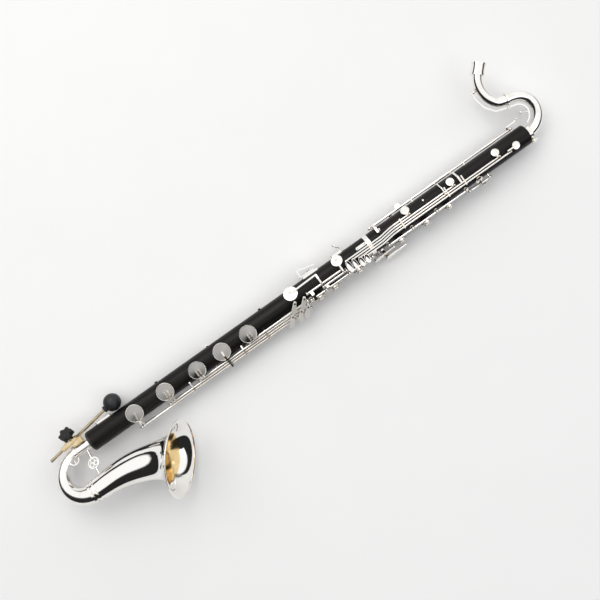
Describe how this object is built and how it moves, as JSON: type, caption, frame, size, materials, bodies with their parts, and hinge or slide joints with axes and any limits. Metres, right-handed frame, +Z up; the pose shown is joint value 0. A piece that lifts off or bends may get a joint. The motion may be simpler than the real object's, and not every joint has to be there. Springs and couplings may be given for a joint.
{
  "type": "bass clarinet",
  "caption": "Bass clarinet to low C without mouthpiece, with upturned metal bell, curved neck, floor peg and working keys, lying on its left side.",
  "frame": {"origin": "middle of the bounding box in X and Y, on the surface that the instrument lies on", "axes": "+X along the bore from bell end to neck, +Y the player's side, -Y the side the bell opens to, +Z up, the instrument's right-hand side"},
  "size_m": [1.069, 0.3232, 0.1464],
  "materials": {
    "silver_plate": "polished silver plate on brass tube, warm reflections in the hollows",
    "silver_keywork": "polished silver plate on cast keys, slightly worn",
    "dark_wood": "oiled African blackwood, satin, faint brown grain",
    "blackened_ring": "black end ring, satin",
    "cork": "tenon cork, matte",
    "steel": "drawn steel rod",
    "warm_brass": "polished brass showing through thin plate",
    "rubber": "black rubber, soft sheen",
    "black_plastic": "black moulded knob, glossy"
  },
  "bodies": {
    "body": {"lower_joint": "dark_wood", "upper_joint": "dark_wood", "tenon_cork": "cork", "joint_ferrule": "silver_plate", "lower_end_ring": "blackened_ring", "low_key_posts": "silver_plate", "side_key_posts": "silver_plate", "stack_posts": "silver_plate", "register_posts": "silver_plate", "left_posts": "silver_plate", "trill_posts": "silver_plate", "trill_guides": "silver_plate", "bridge_plate": "silver_plate", "hinge_rods": "steel", "thumb_rest_base": "silver_plate", "strap_ring": "silver_plate", "back_bumpers": "rubber", "peg_rest_plate": "silver_plate", "neck_socket": "silver_plate"},
    "bell": {"bell_collar": "silver_plate", "bell_bow": "silver_plate", "bell_ring": "silver_plate", "bell_flare": "silver_plate", "bell_brace": "silver_plate", "peg_holder": "warm_brass"},
    "neck": {"neck_tenon": "silver_plate", "neck_tube": "silver_plate", "mouthpiece_receiver": "silver_plate", "neck_key_saddle": "silver_plate", "neck_key_pin": "steel"},
    "neck_register_key": {"neck_register_key": "silver_plate"},
    "neck_clamp_screw": {"neck_clamp_screw": "silver_plate"},
    "floor_peg": {"peg_rod": "steel", "peg_tip_ball": "rubber"},
    "peg_clamp": {"peg_clamp_knob": "black_plastic"},
    "thumb_rest": {"thumb_rest": "silver_plate", "thumb_rest_screw": "steel"},
    "low_c_key": {"low_c_key": "silver_keywork"},
    "low_c_sharp_key": {"low_c_sharp_key": "silver_keywork"},
    "low_d_key": {"low_d_key": "silver_keywork"},
    "low_e_flat_key": {"low_e_flat_key": "silver_keywork"},
    "low_e_key": {"low_e_key": "silver_keywork"},
    "f_key": {"f_key": "silver_keywork"},
    "b_key": {"b_key": "silver_keywork"},
    "trill_key_1": {"trill_key_1": "silver_keywork"},
    "trill_key_2": {"trill_key_2": "silver_keywork"},
    "trill_key_3": {"trill_key_3": "silver_keywork"},
    "trill_key_4": {"trill_key_4": "silver_keywork"},
    "right_ring_plate": {"right_ring_plate": "silver_keywork"},
    "right_middle_plate": {"right_middle_plate": "silver_keywork"},
    "right_index_plate": {"right_index_plate": "silver_keywork"},
    "left_ring_plate": {"left_ring_plate": "silver_keywork"},
    "left_middle_plate": {"left_middle_plate": "silver_keywork"},
    "left_index_plate": {"left_index_plate": "silver_keywork"},
    "throat_key": {"throat_key": "silver_keywork"},
    "register_key": {"register_key": "silver_keywork"},
    "left_lever_front": {"left_lever_front": "silver_keywork"},
    "left_lever_back": {"left_lever_back": "silver_keywork"},
    "left_side_key": {"left_side_key": "silver_keywork"}
  },
  "joints": [
    {"name": "low_c_key_press", "type": "hinge", "parent": "body", "child": "low_c_key", "pos_m": [-0.20282, -0.0248, 0.0289], "axis": [1, 0, 0], "range_deg": [0, 6], "stiffness_Nm_per_rad": 0.1, "springref_deg": -20.05},
    {"name": "low_c_sharp_key_press", "type": "hinge", "parent": "body", "child": "low_c_sharp_key", "pos_m": [-0.15282, -0.0205, 0.0331], "axis": [1, 0, 0], "range_deg": [0, 6], "stiffness_Nm_per_rad": 0.1, "springref_deg": -20.05},
    {"name": "low_d_key_press", "type": "hinge", "parent": "body", "child": "low_d_key", "pos_m": [-0.12282, -0.0162, 0.0373], "axis": [1, 0, 0], "range_deg": [-5.5, 0], "stiffness_Nm_per_rad": 0.1, "springref_deg": 20.05},
    {"name": "low_e_flat_key_press", "type": "hinge", "parent": "body", "child": "low_e_flat_key", "pos_m": [-0.09282, -0.0249, 0.0212], "axis": [1, 0, 0], "range_deg": [0, 5], "stiffness_Nm_per_rad": 0.1, "springref_deg": -20.05},
    {"name": "low_e_key_press", "type": "hinge", "parent": "body", "child": "low_e_key", "pos_m": [-0.06282, -0.0119, 0.0416], "axis": [1, 0, 0], "range_deg": [-5.5, 0], "stiffness_Nm_per_rad": 0.1, "springref_deg": 20.05},
    {"name": "f_key_press", "type": "hinge", "parent": "body", "child": "f_key", "pos_m": [0.04718, -0.0015, 0.0506], "axis": [1, 0, 0], "range_deg": [0, 6], "stiffness_Nm_per_rad": 0.06, "springref_deg": -20.05},
    {"name": "b_key_press", "type": "hinge", "parent": "body", "child": "b_key", "pos_m": [0.06218, -0.0075, 0.0484], "axis": [1, 0, 0], "range_deg": [0, 6], "stiffness_Nm_per_rad": 0.06, "springref_deg": -20.05},
    {"name": "trill_key_1_press", "type": "hinge", "parent": "body", "child": "trill_key_1", "pos_m": [0.24718, 0.0097, 0.05], "axis": [1, 0, 0], "range_deg": [0, 5], "stiffness_Nm_per_rad": 0.06, "springref_deg": -20.05},
    {"name": "trill_key_2_press", "type": "hinge", "parent": "body", "child": "trill_key_2", "pos_m": [0.24718, 0.0053, 0.0504], "axis": [1, 0, 0], "range_deg": [0, 5], "stiffness_Nm_per_rad": 0.06, "springref_deg": -20.05},
    {"name": "trill_key_3_press", "type": "hinge", "parent": "body", "child": "trill_key_3", "pos_m": [0.24718, 0.0009, 0.0502], "axis": [1, 0, 0], "range_deg": [0, 5], "stiffness_Nm_per_rad": 0.06, "springref_deg": -20.05},
    {"name": "trill_key_4_press", "type": "hinge", "parent": "body", "child": "trill_key_4", "pos_m": [0.24718, -0.0035, 0.0496], "axis": [1, 0, 0], "range_deg": [0, 5], "stiffness_Nm_per_rad": 0.06, "springref_deg": -20.05},
    {"name": "right_ring_plate_press", "type": "hinge", "parent": "body", "child": "right_ring_plate", "pos_m": [0.02618, -0.0145, 0.0418], "axis": [1, 0, 0], "range_deg": [0, 5.5], "stiffness_Nm_per_rad": 0.03, "springref_deg": -20.05},
    {"name": "right_middle_plate_press", "type": "hinge", "parent": "body", "child": "right_middle_plate", "pos_m": [0.05718, -0.0145, 0.0418], "axis": [1, 0, 0], "range_deg": [0, 5.5], "stiffness_Nm_per_rad": 0.03, "springref_deg": -20.05},
    {"name": "right_index_plate_press", "type": "hinge", "parent": "body", "child": "right_index_plate", "pos_m": [0.10918, -0.0145, 0.0418], "axis": [1, 0, 0], "range_deg": [0, 5.5], "stiffness_Nm_per_rad": 0.03, "springref_deg": -20.05},
    {"name": "left_ring_plate_press", "type": "hinge", "parent": "body", "child": "left_ring_plate", "pos_m": [0.19918, -0.0145, 0.0418], "axis": [1, 0, 0], "range_deg": [0, 5.5], "stiffness_Nm_per_rad": 0.03, "springref_deg": -20.05},
    {"name": "left_middle_plate_press", "type": "hinge", "parent": "body", "child": "left_middle_plate", "pos_m": [0.25318, -0.0145, 0.0418], "axis": [1, 0, 0], "range_deg": [0, 5.5], "stiffness_Nm_per_rad": 0.03, "springref_deg": -20.05},
    {"name": "left_index_plate_press", "type": "hinge", "parent": "body", "child": "left_index_plate", "pos_m": [0.30118, -0.0145, 0.0418], "axis": [1, 0, 0], "range_deg": [0, 5.5], "stiffness_Nm_per_rad": 0.03, "springref_deg": -20.05},
    {"name": "throat_key_press", "type": "hinge", "parent": "body", "child": "throat_key", "pos_m": [0.36718, -0.0189, 0.033], "axis": [1, 0, 0], "range_deg": [0, 6], "stiffness_Nm_per_rad": 0.03, "springref_deg": -20.05},
    {"name": "register_key_press", "type": "hinge", "parent": "body", "child": "register_key", "pos_m": [0.31718, 0.0293, 0.027], "axis": [1, 0, 0], "range_deg": [-5, 0], "stiffness_Nm_per_rad": 0.1, "springref_deg": 20.05},
    {"name": "left_lever_front_press", "type": "hinge", "parent": "body", "child": "left_lever_front", "pos_m": [-0.02282, -0.0179, 0.0031], "axis": [1, 0, 0], "range_deg": [-4, 0], "stiffness_Nm_per_rad": 0.1, "springref_deg": 20.05},
    {"name": "left_lever_back_press", "type": "hinge", "parent": "body", "child": "left_lever_back", "pos_m": [-0.02282, 0.0181, 0.0031], "axis": [1, 0, 0], "range_deg": [-4, 0], "stiffness_Nm_per_rad": 0.15, "springref_deg": 28.65},
    {"name": "left_side_key_press", "type": "hinge", "parent": "body", "child": "left_side_key", "pos_m": [0.29718, 0.0181, 0.0031], "axis": [1, 0, 0], "range_deg": [0, 5], "stiffness_Nm_per_rad": 0.08, "springref_deg": -20.05},
    {"name": "bell_turn", "type": "hinge", "parent": "body", "child": "bell", "pos_m": [-0.47282, 0.0061, 0.028], "axis": [1, 0, 0], "range_deg": [-12, 12]},
    {"name": "neck_turn", "type": "hinge", "parent": "body", "child": "neck", "pos_m": [0.48618, 0.0061, 0.028], "axis": [1, 0, 0], "range_deg": [-20, 20]},
    {"name": "neck_register_press", "type": "hinge", "parent": "neck", "child": "neck_register_key", "pos_m": [0.48438, 0.06155, 0.03778], "axis": [0, -0.1736, 0.9848], "range_deg": [0, 4], "stiffness_Nm_per_rad": 0.05, "springref_deg": -20.05},
    {"name": "neck_clamp_turn", "type": "hinge", "parent": "body", "child": "neck_clamp_screw", "pos_m": [0.48958, -0.0113, 0.028], "axis": [0, 0, 1], "range_deg": [-180, 180]},
    {"name": "peg_slide", "type": "slide", "parent": "bell", "child": "floor_peg", "axis": [0.9874, 0.1582, 0], "range_m": [0, 0.035]},
    {"name": "peg_clamp_turn", "type": "hinge", "parent": "bell", "child": "peg_clamp", "pos_m": [-0.4715, 0.02604, 0.029], "axis": [0, 0.7071, 0.7071], "range_deg": [-180, 180]},
    {"name": "thumb_rest_slide", "type": "slide", "parent": "body", "child": "thumb_rest", "axis": [1, 0, 0], "range_m": [-0.003, 0.006]}
  ]
}
